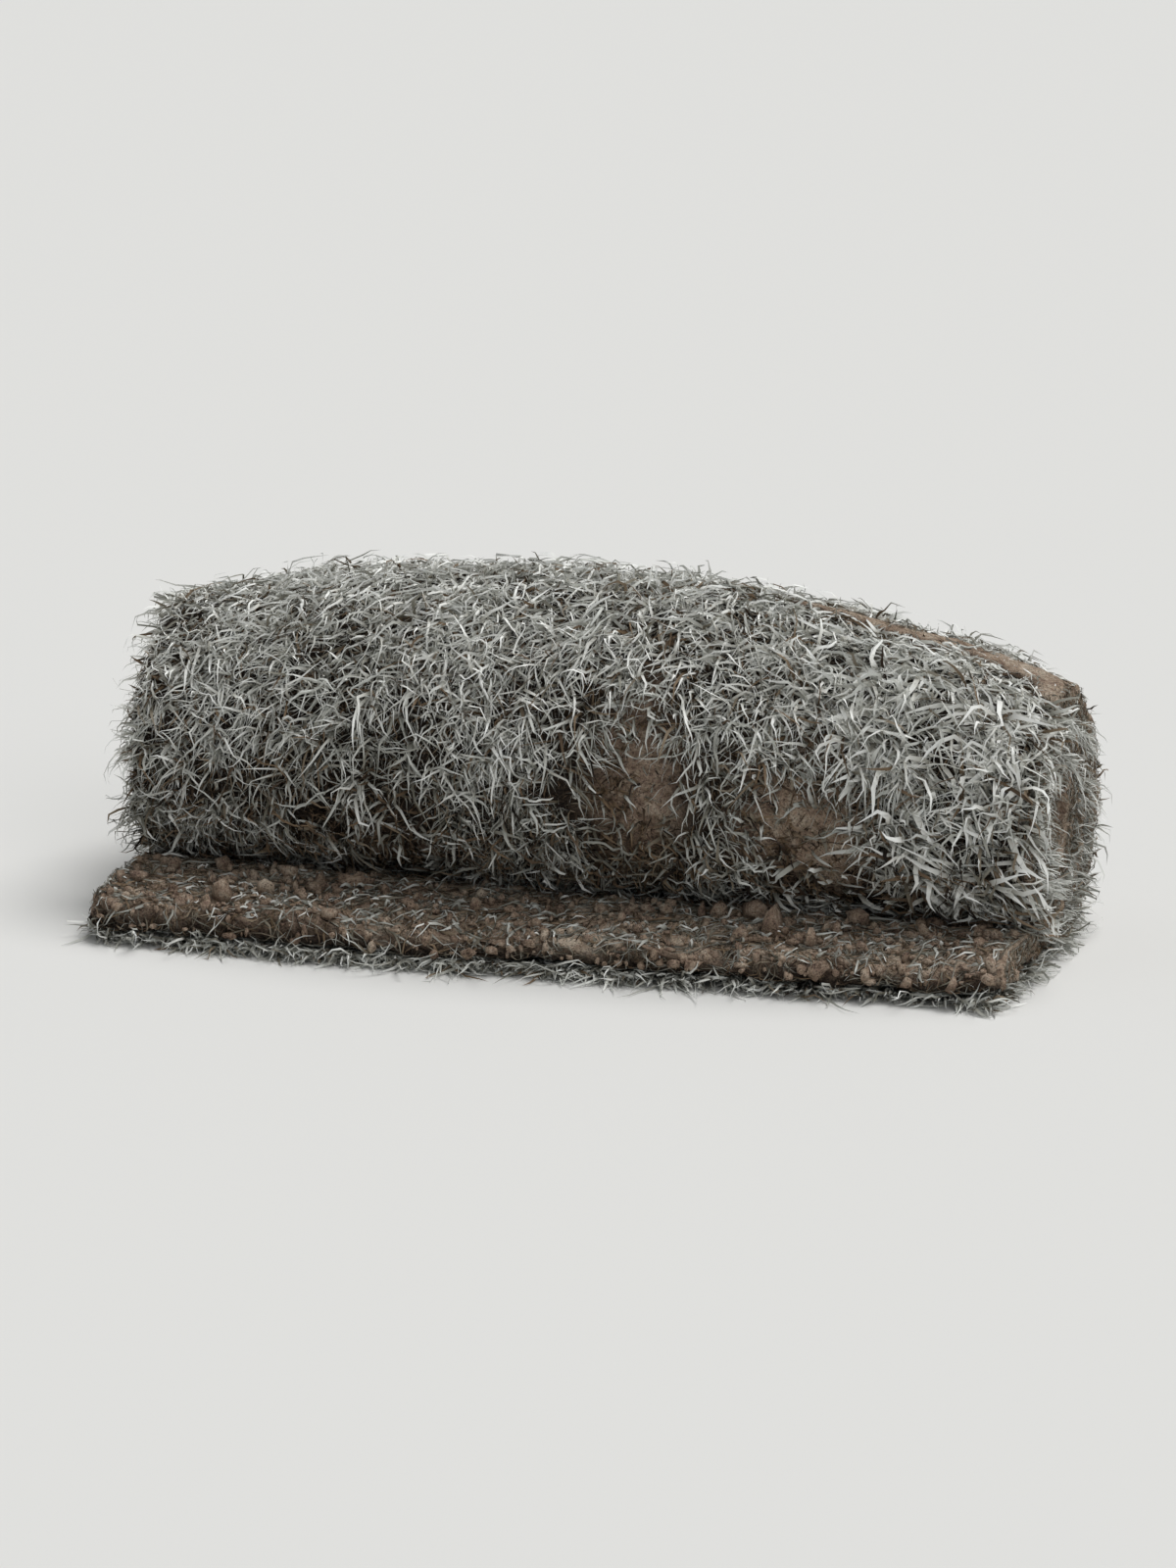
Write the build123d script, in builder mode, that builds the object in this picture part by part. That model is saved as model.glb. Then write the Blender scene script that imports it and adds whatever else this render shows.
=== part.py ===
from build123d import *
import os

os.makedirs("parts", exist_ok=True)

# A roll of turf lying on its side, wound with the grass outwards. It is one strip, so it is one
# solid. X runs along the roll, Z is up, and the strip's free end lies on the ground towards -Y.
# The origin is on the ground under the middle of the box.

# The strip, cut 610 mm wide and about 1.52 m long
strip_width = 610.0
soil_thickness = 19.0
grass_thickness = 9.0

# The winding. Each turn is four quarter arcs, and the weight of the roll makes the lower arcs
# tighter and the upper arcs wider by the share called sag, with a straight run at the bottom.
turns = 3
eye_radius = 6.5
sag = 0.11

# The free end, which has sprung open a little and is cut out of square
free_end_reach = 70.0
free_end_skew = 30.0
free_end_spring = 2.5
free_end_corner = 14.0
free_end_rounding = 6.0

# The ends of the roll. Its turns sink closer towards them, each by its share of the full girth, and
# the pressed grass between two turns stands back from the cut mat.
left_end_sink = 0.17
right_end_sink = 0.23
turn_groove_depth = 14.0
rim_rounding = 7.0

pitch = soil_thickness + grass_thickness
quarter_turns = round(4 * turns)
quarters_to_eye = quarter_turns + 4
free_end_thickness = pitch + free_end_spring


def mean_radius(quarter):
    """Radius of the strip's outer face without the sag, counted in quarters from the free end."""
    return eye_radius + pitch * (quarters_to_eye - quarter) / 4


def arc_radius(quarter):
    """Radius of one quarter arc of the strip's outer face."""
    is_upper = quarter % 4 in (1, 2)
    return mean_radius(quarter) * (1 + sag if is_upper else 1 - sag)


def bottom_run(quarter):
    """Straight run under a turn, which closes the gap that the unequal arcs would leave."""
    return 4 * sag * mean_radius(quarter)


# How far the roll reaches behind and in front of the place where the strip leaves it
back_reach = bottom_run(0) + arc_radius(0)
front_reach = arc_radius(1) + arc_radius(2) - back_reach
overall_depth = back_reach + front_reach + free_end_reach
run_end_y = overall_depth / 2 - arc_radius(0)
free_end_y = -overall_depth / 2

# Where the roll's sections are drawn, from end to end
section_places = [share * strip_width for share in (-0.5, -0.25, 0.0, 0.25, 0.5)]


def girth(x):
    """Share of the full winding that the roll has at x, which falls off in a curve to both ends."""
    sink = left_end_sink if x < 0 else right_end_sink
    return 1 - sink * (2 * x / strip_width) ** 2


def winding(first_quarter, last_quarter, share, inset=0.0):
    """Draws the strip's outer face between two quarters, or a line inset from it.

    The winding is share times its full size, from where the strip leaves the ground. The first
    straight run, on the ground, belongs to the free end and isn't drawn.
    """
    y, z = run_end_y, 0.0
    drawn = []
    for quarter in range(last_quarter):
        side = quarter % 4
        if side == 0 and quarter > 0:
            run = share * bottom_run(quarter)
            if quarter >= first_quarter:
                drawn.append(Line((y, z + inset), (y + run, z + inset)))
            y += run
        radius = share * arc_radius(quarter)
        heading_y, heading_z = ((1, 0), (0, 1), (-1, 0), (0, -1))[side]
        centre_y = y - heading_z * radius
        centre_z = z + heading_y * radius
        if quarter >= first_quarter:
            drawn.append(CenterArc((centre_y, centre_z), radius - inset, 90 * side - 90, 90))
        y = centre_y + heading_y * radius
        z = centre_z + heading_z * radius
    return drawn


# The free end, lying on the ground and running in under the roll
with BuildPart() as free_end:
    with BuildSketch() as free_end_plan:
        with BuildLine():
            Polyline(
                (-strip_width / 2, run_end_y),
                (-strip_width / 2, free_end_y),
                (strip_width / 2, free_end_y + free_end_skew),
                (strip_width / 2, run_end_y),
                close=True,
            )
        make_face()
        fillet(free_end_plan.vertices().sort_by(Axis.Y)[:2], radius=free_end_corner)
    extrude(amount=free_end_thickness)
    upper_edges = free_end.faces().sort_by(Axis.Z)[-1].edges().sort_by(Axis.Y)[:-1]
    fillet(upper_edges, radius=free_end_rounding)
    lower_edges = free_end.faces().sort_by(Axis.Z)[0].edges().sort_by(Axis.Y)[:-1]
    fillet(lower_edges, radius=rim_rounding)

with BuildPart() as turf_roll:
    # The wound body, bounded by the outermost turn. Below, the outline eases onto the ground.
    for x in section_places:
        with BuildSketch(Plane.YZ.offset(x)):
            with BuildLine():
                outer_turn = winding(0, 4, girth(x))
                Spline(outer_turn[-1] @ 1, outer_turn[0] @ 0, tangents=((1, 0), (1, 0)))
            make_face()
    loft()
    fillet(turf_roll.faces().filter_by(Axis.X).edges(), radius=rim_rounding)
    add(free_end.part)

    # The eye, bounded by the innermost turn and the strip's inner end
    for x in section_places:
        with BuildSketch(Plane.YZ.offset(x)):
            with BuildLine():
                inner_turn = winding(quarter_turns, quarters_to_eye, girth(x))
                Line(inner_turn[-1] @ 1, inner_turn[0] @ 0)
            make_face()
    loft(mode=Mode.SUBTRACT)

    # The turns, seen on both ends. The groove runs out into the eye at the strip's inner end.
    for side in (-1, 1):
        end = side * strip_width / 2
        groove_width = grass_thickness * girth(end)
        with BuildSketch(Plane.YZ.offset(end)):
            with BuildLine():
                last_arc = winding(4, quarter_turns, girth(end), inset=groove_width / 2)[-1]
                Line(last_arc @ 1, last_arc @ 1 + (last_arc % 1) * groove_width)
            trace(line_width=groove_width)
        extrude(amount=-side * turn_groove_depth, mode=Mode.SUBTRACT)

turf_roll.part.label = "turf_roll"
export_step(turf_roll.part, "parts/turf_roll.step")
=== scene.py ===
import math

import bpy
import numpy as np
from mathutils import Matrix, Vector

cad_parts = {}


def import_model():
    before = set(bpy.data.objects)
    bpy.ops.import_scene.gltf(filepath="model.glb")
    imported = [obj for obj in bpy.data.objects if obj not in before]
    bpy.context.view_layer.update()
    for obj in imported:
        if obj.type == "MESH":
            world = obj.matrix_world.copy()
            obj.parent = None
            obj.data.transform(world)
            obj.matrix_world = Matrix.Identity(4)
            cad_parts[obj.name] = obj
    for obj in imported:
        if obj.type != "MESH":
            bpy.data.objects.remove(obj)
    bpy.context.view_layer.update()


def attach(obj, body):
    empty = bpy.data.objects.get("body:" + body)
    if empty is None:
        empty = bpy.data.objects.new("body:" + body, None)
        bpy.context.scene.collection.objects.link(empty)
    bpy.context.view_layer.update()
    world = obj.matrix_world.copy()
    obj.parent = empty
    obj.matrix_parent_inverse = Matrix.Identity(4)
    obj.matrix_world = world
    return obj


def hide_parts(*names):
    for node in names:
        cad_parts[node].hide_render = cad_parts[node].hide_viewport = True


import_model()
rng = np.random.default_rng(seed=2417)

# The strip and its winding, in metres, as in the solid
STRIP_WIDTH = 0.610
SOIL = 0.019
GRASS = 0.009
TURNS = 3
EYE_RADIUS = 0.0065
SAG = 0.11
FREE_END_REACH = 0.070
FREE_END_SKEW = 0.030
FREE_END_SPRING = 0.0025
FREE_END_CORNER = 0.014
LEFT_END_SINK = 0.17
RIGHT_END_SINK = 0.23
PITCH = SOIL + GRASS
HALF_WIDTH = STRIP_WIDTH / 2
QUARTER_TURNS = 4 * TURNS
QUARTERS_TO_EYE = QUARTER_TURNS + 4

# How the cut edges and the grass differ from the plain solid
EDGE_ROUNDING = 0.003
GROUND_CLEARANCE = 0.0006
TURN_CLEARANCE = 0.0005
MOST_PROUD_END = 0.016
MOST_PROUD_SIDE = 0.013
MOST_PROUD_TIP = 0.013
OUTER_GRASS = 0.0065
BLADE_FOOT = 0.001

# From how far past an edge a blade hangs free, from what height it keeps how clear of the cut
# sides, and how low it hangs
PAST_SIDE = 0.0015
PAST_TIP = 0.001
HUNG_BELOW = -0.002
CLEAR_OF_SIDE = 0.002
LOWEST_HANGING = -0.03

# How far threads and crumbs lie off the face and off the torn edge that they lie on
OFF_FACE = 0.0004
OFF_TORN_EDGE = 0.0006

# Lumps of the wound roll, which fade out towards the ground, and how far its turns slip sideways
LUMP_HEIGHT = 0.0045
LUMP_SIZE = 0.085
MOST_LUMP_UP = 0.004
MOST_LUMP_DOWN = 0.0015
LUMPS_FULL_FROM = 0.12
SIDE_SLIP = 0.0035
SIDE_SLIP_SIZE = 0.17

# Relief of the mat: how far its points move, and the size of what that makes
MAT_RELIEF = (0.0030, 0.013)
FREE_END_RELIEF = (0.0042, 0.014)
FINE_RELIEF = (0.0013, 0.005)

# The bare rim of the right end, and the bare line that widens towards it behind the top
BARE_RIM = 0.026
BARE_LINE_START_X = -0.02
BARE_LINE_WIDENS_OVER = 0.24
BARE_LINE_HALF = 0.030
BARE_LINE_BEHIND_TOP = 0.014
BARE_WAVER = 0.014
BARE_RISE = 0.0045

# The torn edge of the free end, and how the mat gets thinner towards it
TIP_SETBACK = 0.005
TIP_WAVER = 0.006
TIP_TEETH = 0.0045
TEAR_SLOPE = 0.007
TEAR_WAVER = 0.008
THINNING = 0.0065
THINNING_REACH = 0.035

# Where the two faces of the free end start to rise to its spring, and over what length
LOWER_FACE_RISES = (0.0, 0.1)
UPPER_FACE_RISES = (-0.02, 0.03)

# How far its upper face ends short of its lower one, where the roll stands on it
LEAVING_SLANT = 2 * PITCH / 7

# The photograph's view of the roll
CAMERA_AZIMUTH = 18.0
CAMERA_ELEVATION = 15.5
CAMERA_DISTANCE = 6.5
CAMERA_LENS = 228.0
CAMERA_TARGET = (0.0, -0.02, 0.10)


def mean_radius(quarter):
    """Radius of the strip's outer face without the sag, counted in quarters from the free end."""
    return EYE_RADIUS + PITCH * (QUARTERS_TO_EYE - quarter) / 4


def arc_radius(quarter):
    """Radius of one quarter arc of the strip's outer face."""
    return mean_radius(quarter) * (1 + SAG if quarter % 4 in (1, 2) else 1 - SAG)


def bottom_run(quarter):
    """Straight run under a turn, which closes the gap that the unequal arcs would leave."""
    return 4 * SAG * mean_radius(quarter)


BACK_REACH = bottom_run(0) + arc_radius(0)
FRONT_REACH = arc_radius(1) + arc_radius(2) - BACK_REACH
OVERALL_DEPTH = BACK_REACH + FRONT_REACH + FREE_END_REACH
RUN_END_Y = OVERALL_DEPTH / 2 - arc_radius(0)
FREE_END_Y = -OVERALL_DEPTH / 2


def wind():
    """The stretches of the strip's outer face, from where it leaves the ground to the eye.

    Each row is start y, start z, heading, radius, length. A straight run has an endless radius.
    Every turn from the second on starts with its run, so a turn is five stretches.
    """
    rows = []
    y, z = RUN_END_Y, 0.0
    for quarter in range(QUARTERS_TO_EYE):
        side = quarter % 4
        heading = side * math.pi / 2
        if side == 0:
            run = bottom_run(quarter) if quarter else 0.0
            rows.append((y, z, 0.0, np.inf, run))
            y += run
        radius = arc_radius(quarter)
        rows.append((y, z, heading, radius, radius * math.pi / 2))
        ahead = (math.cos(heading), math.sin(heading))
        y += radius * (ahead[0] - ahead[1])
        z += radius * (ahead[1] + ahead[0])
    return np.array(rows)


STRETCHES = wind()
STRETCH_LENGTHS = STRETCHES[:, 4]
STRETCH_STARTS = np.concatenate([[0.0], np.cumsum(STRETCH_LENGTHS)])
PER_TURN = 5
OUTER_TURN_LENGTH = STRETCH_STARTS[PER_TURN]
STRIP_END = STRETCH_STARTS[PER_TURN * TURNS]

# The four quarters of the outer turn, by the numbers of their stretches
BACK_LOW, BACK_HIGH, FRONT_HIGH, FRONT_LOW = 1, 2, 3, 4
ROLL_TOP = STRETCH_STARTS[FRONT_HIGH]

# Where the threads and crumbs of the cut sides start, at about the tip of the free end
CUT_SIDE_START = -0.18


def stretch_at(s):
    """Which stretch each distance s along the strip lies in. The free end is below zero."""
    found = np.searchsorted(STRETCH_STARTS, s, side="right") - 1
    return np.clip(found, 0, len(STRETCHES) - 1)


def outer_face(s):
    """Place (y, z) of the strip's outer face at distance s along it, and its heading there."""
    k = stretch_at(s)
    y, z, heading, radius, _ = STRETCHES[k].T
    local = s - STRETCH_STARTS[k]
    straight = np.isinf(radius)
    safe = np.where(straight, 1.0, radius)
    angle = np.where(straight, heading, heading + local / safe)
    chord_y = np.where(straight, local * np.cos(heading), safe * (np.sin(angle) - np.sin(heading)))
    chord_z = np.where(straight, local * np.sin(heading), safe * (np.cos(heading) - np.cos(angle)))
    return y + chord_y, z + chord_z, angle


def next_turn(s):
    """The distance along the strip one turn further in, on the same place of the same stretch."""
    k = stretch_at(s)
    no_length = 1e-9
    share = (s - STRETCH_STARTS[k]) / np.maximum(STRETCH_LENGTHS[k], no_length)
    k_in = np.minimum(k + PER_TURN, len(STRETCHES) - 1)
    return STRETCH_STARTS[k_in] + share * STRETCH_LENGTHS[k_in]


# The random values that noise is made of
LATTICE_CELLS = 24
LATTICE = rng.random((LATTICE_CELLS, LATTICE_CELLS, LATTICE_CELLS)) * 2 - 1
OCTAVE_SHIFT = 7.3


def on_plane(a, b):
    """Points with these two coordinates and nothing for the third."""
    return np.column_stack([a, b, a * 0])


def noise(points, size, shift, octaves=2):
    """Smooth random values about -1 to 1 over points, with features about size across.

    Each shift gives values of its own, and each octave adds features of half the size.
    """
    total = np.zeros(len(points))
    strength, weight = 1.0, 0.0
    for octave in range(octaves):
        q = points / size * 2**octave + shift + OCTAVE_SHIFT * octave
        cell = np.floor(q).astype(int)
        f = q - cell
        f = f * f * (3 - 2 * f)
        value = np.zeros(len(points))
        for corner in range(8):
            step = np.array([corner >> 2 & 1, corner >> 1 & 1, corner & 1])
            share = np.prod(np.where(step, f, 1 - f), axis=1)
            i, j, k = ((cell + step) % LATTICE_CELLS).T
            value += share * LATTICE[i, j, k]
        total += strength * value
        weight += strength
        strength *= 0.5
    return total / weight


def girth(x):
    """Share of the full winding that the roll has at x, which falls off towards both ends."""
    sink = np.where(x < 0, LEFT_END_SINK, RIGHT_END_SINK)
    return 1 - sink * np.minimum(np.abs(x) / HALF_WIDTH, 1) ** 2


def to_world(x, s, h):
    """A point at x across the strip, s along it and h above its outer face, in the roll's frame."""
    y, z, angle = outer_face(s)
    y = y + h * np.sin(angle)
    z = z - h * np.cos(angle)
    share = np.where(s < 0, 1.0, girth(x))
    points = np.column_stack([x, RUN_END_Y + (y - RUN_END_Y) * share, z * share])
    lumps = LUMP_HEIGHT * noise(points, LUMP_SIZE, shift=3.1)
    by_end = np.column_stack([s, s * 0, s * 0 + np.sign(x)])
    slip = SIDE_SLIP * noise(by_end, SIDE_SLIP_SIZE, shift=9.4)
    off_ground = np.clip(z / LUMPS_FULL_FROM, 0, 1)
    points[:, 0] += slip * np.clip(np.abs(x) / HALF_WIDTH, 0, 1)
    points[:, 1] += lumps * np.sin(angle) * off_ground
    points[:, 2] -= np.clip(lumps * np.cos(angle), -MOST_LUMP_UP, MOST_LUMP_DOWN) * off_ground
    points[:, 2] = np.maximum(points[:, 2], GROUND_CLEARANCE)
    return points


def new_material(name):
    """A material with a plain shader, together with its node tree and that shader."""
    material = bpy.data.materials.new(name)
    material.use_nodes = True
    tree = material.node_tree
    tree.nodes.clear()
    output = tree.nodes.new("ShaderNodeOutputMaterial")
    shader = tree.nodes.new("ShaderNodeBsdfPrincipled")
    tree.links.new(shader.outputs[0], output.inputs[0])
    return material, tree, shader


def srgb(*values):
    """A colour from its 0 to 255 values, as the linear one that a shader takes."""
    scaled = [v / 255 for v in values]
    return [v / 12.92 if v <= 0.04045 else ((v + 0.055) / 1.055) ** 2.4 for v in scaled] + [1.0]


def ramp(tree, factor, stops):
    """The colour of a ramp at a factor. The stops are places with their colours."""
    node = tree.nodes.new("ShaderNodeValToRGB")
    elements = node.color_ramp.elements
    for place, _ in stops[1:-1]:
        elements.new(place)
    for element, (place, colour) in zip(elements, sorted(stops)):
        element.position = place
        element.color = colour
    tree.links.new(factor, node.inputs[0])
    return node.outputs[0]


def noise_node(tree, size, detail, roughness=0.6, stretch=(1, 1, 1)):
    """Noise in the object's own space, with features about size across."""
    coords = tree.nodes.new("ShaderNodeTexCoord")
    mapping = tree.nodes.new("ShaderNodeMapping")
    mapping.inputs["Scale"].default_value = stretch
    node = tree.nodes.new("ShaderNodeTexNoise")
    node.inputs["Scale"].default_value = 1 / size
    node.inputs["Detail"].default_value = detail
    node.inputs["Roughness"].default_value = roughness
    tree.links.new(coords.outputs["Object"], mapping.inputs[0])
    tree.links.new(mapping.outputs[0], node.inputs["Vector"])
    return node.outputs[0]


def mix(tree, factor, a, b, blend="MIX"):
    """Two colours blended by a factor, each of the three a value or another node's output."""
    node = tree.nodes.new("ShaderNodeMix")
    node.data_type = "RGBA"
    node.blend_type = blend
    for socket, value in zip((node.inputs[0], node.inputs[6], node.inputs[7]), (factor, a, b)):
        if isinstance(value, bpy.types.NodeSocket):
            tree.links.new(value, socket)
        else:
            socket.default_value = value
    return node.outputs[2]


def math_node(tree, operation, *values):
    """The result of an operation on values, each a number or another node's output."""
    node = tree.nodes.new("ShaderNodeMath")
    node.operation = operation
    for socket, value in zip(node.inputs, values):
        if isinstance(value, bpy.types.NodeSocket):
            tree.links.new(value, socket)
        else:
            socket.default_value = value
    return node.outputs[0]


BLADE_MAP = "OFBake"
MAP_MARGIN = 0.01
BLADE_HALF_WIDTH_ON_MAP = 0.004


def blade_material():
    """Dry grass. Across the map lies the blade's tint, and up the map the way from root to tip, along
    which it darkens towards the root as painted shade.
    """
    material, tree, shader = new_material("dry_grass")
    uv = tree.nodes.new("ShaderNodeUVMap")
    uv.uv_map = BLADE_MAP
    split = tree.nodes.new("ShaderNodeSeparateXYZ")
    tree.links.new(uv.outputs[0], split.inputs[0])
    tint = ramp(tree, split.outputs[0], [
        (0.00, srgb(38, 31, 26)),
        (0.10, srgb(72, 58, 47)),
        (0.22, srgb(136, 115, 92)),
        (0.34, srgb(136, 134, 124)),
        (0.48, srgb(188, 189, 184)),
        (0.64, srgb(214, 216, 212)),
        (0.82, srgb(238, 239, 236)),
        (1.00, srgb(252, 253, 251)),
    ])
    # Up the blade the colour darkens towards the root: painted shade deep among the blades.
    along = ramp(tree, split.outputs[1], [
        (0.00, srgb(104, 98, 89)),
        (0.20, srgb(190, 187, 179)),
        (0.50, srgb(250, 249, 246)),
        (1.00, srgb(255, 255, 254)),
    ])
    colour = mix(tree, 1.0, tint, along, "MULTIPLY")
    tree.links.new(colour, shader.inputs["Base Color"])
    roughness = math_node(tree, "MULTIPLY_ADD", split.outputs[1], -0.18, 0.82)
    tree.links.new(roughness, shader.inputs["Roughness"])
    shader.inputs["Specular IOR Level"].default_value = 0.25
    return material


def grey(value):
    """A linear grey."""
    return (value, value, value, 1)


def soil_material():
    """Matted roots and soil, in browns with pale root threads.

    It is drier and lighter where it is cut, and lighter on the free end's upper face as painted light.
    On the side where the grass grows it is dark, with dead grass and painted shade for the gaps between
    the blades.
    """
    material, tree, shader = new_material("root_mat")
    broad = noise_node(tree, size=0.045, detail=2.0)
    crumbs = noise_node(tree, size=0.0055, detail=4.0, roughness=0.7)
    fine = noise_node(tree, size=0.0014, detail=3.0, roughness=0.7)
    most = math_node(tree, "MULTIPLY", crumbs, 0.6)
    rest = math_node(tree, "MULTIPLY", broad, 0.4)
    both = math_node(tree, "ADD", most, rest)
    body = ramp(tree, both, [
        (0.36, srgb(70, 51, 45)),
        (0.44, srgb(140, 116, 102)),
        (0.52, srgb(174, 149, 131)),
        (0.62, srgb(216, 196, 176)),
    ])
    # Lighter soil: drier where it is cut, and on the free end's upper face painted light as well.
    dry_and_lit = ramp(tree, both, [
        (0.36, srgb(122, 98, 84)),
        (0.49, srgb(190, 164, 143)),
        (0.62, srgb(228, 211, 190)),
    ])
    dry_and_lit_mark = tree.nodes.new("ShaderNodeAttribute")
    dry_and_lit_mark.attribute_name = "dry_and_lit"
    body = mix(tree, dry_and_lit_mark.outputs["Fac"], body, dry_and_lit)
    speck = ramp(tree, fine, [(0.36, grey(0.22)), (0.47, grey(0.82)), (0.62, grey(1.0))])
    body = mix(tree, 1.0, body, speck, "MULTIPLY")
    strands = noise_node(tree, size=0.010, detail=5.0, roughness=0.75, stretch=(1.0, 2.6, 2.6))
    lines = ramp(tree, strands, [(0.472, grey(0)), (0.500, grey(0.6)), (0.528, grey(0))])
    body = mix(tree, lines, body, srgb(178, 160, 132))
    # Near black on the grass side: partly dead grass, partly painted shade that darkens the gaps
    # between the blades.
    thatch_and_shade = ramp(tree, fine, [
        (0.36, srgb(22, 17, 15)),
        (0.52, srgb(46, 38, 32)),
        (0.70, srgb(84, 72, 58)),
    ])
    thatch_and_shade_mark = tree.nodes.new("ShaderNodeAttribute")
    thatch_and_shade_mark.attribute_name = "thatch_and_shade"
    body = mix(tree, thatch_and_shade_mark.outputs["Fac"], body, thatch_and_shade)
    tree.links.new(body, shader.inputs["Base Color"])
    roughness = math_node(tree, "MULTIPLY_ADD", fine, 0.25, 0.76)
    tree.links.new(roughness, shader.inputs["Roughness"])
    shader.inputs["Specular IOR Level"].default_value = 0.2
    bump = tree.nodes.new("ShaderNodeBump")
    bump.inputs["Strength"].default_value = 1.0
    bump.inputs["Distance"].default_value = 0.0024
    tree.links.new(math_node(tree, "ADD", crumbs, fine), bump.inputs["Height"])
    tree.links.new(bump.outputs[0], shader.inputs["Normal"])
    return material


def make_mesh(name, points, faces, material, uv=None, marks=None):
    """A piece from its points and its faces, where a face is a row of 3 or 4 point numbers.

    marks are values at the points that its material reads by name.
    """
    mesh = bpy.data.meshes.new(name)
    sizes = np.concatenate([np.full(len(f), f.shape[1]) for f in faces])
    corners = np.concatenate([f.ravel() for f in faces])
    mesh.vertices.add(len(points))
    mesh.vertices.foreach_set("co", points.astype(np.float32).ravel())
    mesh.loops.add(len(corners))
    mesh.loops.foreach_set("vertex_index", corners.astype(np.int32))
    mesh.polygons.add(len(sizes))
    mesh.polygons.foreach_set("loop_start", (np.cumsum(sizes) - sizes).astype(np.int32))
    if uv is not None:
        layer = mesh.uv_layers.new(name=BLADE_MAP)
        layer.data.foreach_set("uv", uv[corners].astype(np.float32).ravel())
    for mark, values in (marks or {}).items():
        attribute = mesh.attributes.new(mark, "FLOAT", "POINT")
        attribute.data.foreach_set("value", values.astype(np.float32))
    mesh.polygons.foreach_set("use_smooth", np.full(len(sizes), True))
    mesh.update(calc_edges=True)
    mesh.validate()
    mesh.materials.append(material)
    piece = bpy.data.objects.new(name, mesh)
    bpy.context.scene.collection.objects.link(piece)
    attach(piece, "root")
    return piece


def ease(values):
    """0 below 0, 1 above 1 and smooth between."""
    v = np.clip(values, 0, 1)
    return v * v * (3 - 2 * v)


def mat_section(face_steps, cap_steps):
    """The cut outline of the mat across the strip: x and the share of the thickness, as a loop."""
    crowding = 0.4
    corner_steps = 4
    share = EDGE_ROUNDING / SOIL
    flat = HALF_WIDTH - EDGE_ROUNDING
    even = np.linspace(-1, 1, face_steps)
    face = flat * ((1 - crowding) * even + crowding * np.sin(even * math.pi / 2))
    turn = np.linspace(0, math.pi / 2, corner_steps)[1:-1]
    up = np.linspace(share, 1 - share, cap_steps)
    corner_x = flat + EDGE_ROUNDING * np.sin(turn)
    corner_t = share * (1 - np.cos(turn))
    right_x = np.concatenate([corner_x, np.full(cap_steps, HALF_WIDTH), corner_x[::-1]])
    right_t = np.concatenate([corner_t, up, 1 - corner_t[::-1]])
    x = np.concatenate([face, right_x, face[::-1], -right_x[::-1]])
    t = np.concatenate([face * 0, right_t, face * 0 + 1, right_t[::-1]])
    return x, t


def tube_faces(rings, around):
    """The faces of a closed tube of rings, with its two ends closed by strips across."""
    ring = np.arange(rings - 1)[:, None] * around
    i = np.arange(around)[None, :]
    j = (i + 1) % around
    walls = np.stack([ring + i, ring + j, ring + around + j, ring + around + i], -1).reshape(-1, 4)
    half = around // 2
    low = np.arange(half - 1)
    high = around - 1 - low
    start = np.stack([low, high, high - 1, low + 1], -1)
    end = np.stack([low, low + 1, high - 1, high], -1) + (rings - 1) * around
    return [walls, start, end]


def roughen(points, amount, size):
    """Crumbly relief, with each point moved its own way."""
    moved = points.copy()
    for axis in range(3):
        moved[:, axis] += amount * noise(points, size, shift=11.0 + 5 * axis, octaves=3)
    moved[:, 2] = np.maximum(moved[:, 2], GROUND_CLEARANCE)
    return moved


def bareness(x, s):
    """1 where the mat's face is bare: on the right end's rim, and on a line towards it behind the top.

    The rim is bare from a little above the ground behind the roll to a little in front of its top.
    """
    rim_edge, line_edge = 0.014, 0.012
    little, fade = 0.05, 0.04
    waver = BARE_WAVER * noise(on_plane(x, s), size=0.034, shift=5.9, octaves=3)
    above_ground = ease((s - STRETCH_STARTS[BACK_LOW] - little) / fade)
    behind_front = ease((ROLL_TOP + little - s) / fade)
    at_rim = ease((x - HALF_WIDTH + BARE_RIM + 0.6 * waver) / rim_edge)
    rim = at_rim * (above_ground * behind_front)
    half = BARE_LINE_HALF * ease((x - BARE_LINE_START_X) / BARE_LINE_WIDENS_OVER) - 0.004
    line = ease((half - np.abs(s - ROLL_TOP + BARE_LINE_BEHIND_TOP) + waver) / line_edge)
    return np.maximum(rim, line)


def mat_level(x, s):
    """Height of the mat's outer face, which on the outer turn isn't pressed down so deep."""
    fade = 0.05
    outer_turn = ease((OUTER_TURN_LENGTH - s) / fade)
    return -GRASS + (GRASS - OUTER_GRASS + BARE_RISE * bareness(x, s)) * outer_turn


def wound_point(x, s, t):
    """A point of the wound mat, t of the way from its outer to its inner face."""
    outer = to_world(x, s, mat_level(x, s))
    inner = to_world(x, next_turn(s), np.full(len(s), -TURN_CLEARANCE))
    return roughen(outer + (inner - outer) * t[:, None], *MAT_RELIEF)


def cut_marks(x, t):
    """How light and how dark the mat looks at a point: drier where it is cut, and dark on its grass
    side with dead grass and painted shade.
    """
    rim, rim_edge = 0.004, 0.003
    at_cut = ease((np.abs(x) - HALF_WIDTH + rim) / rim_edge)
    return {"dry_and_lit": 0.75 * at_cut * ease(t / 0.3), "thatch_and_shade": 1 - ease(t / 0.28)}


# Places on the outer turn where the grass has been worn thin and the brown mat shows, each with its
# place across the roll, its height on the front and its two half sizes
THIN_PATCHES = (
    (0.050, 0.110, 0.028, 0.066),
    (0.165, 0.104, 0.045, 0.050),
    (-0.120, 0.045, 0.030, 0.018),
)


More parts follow.
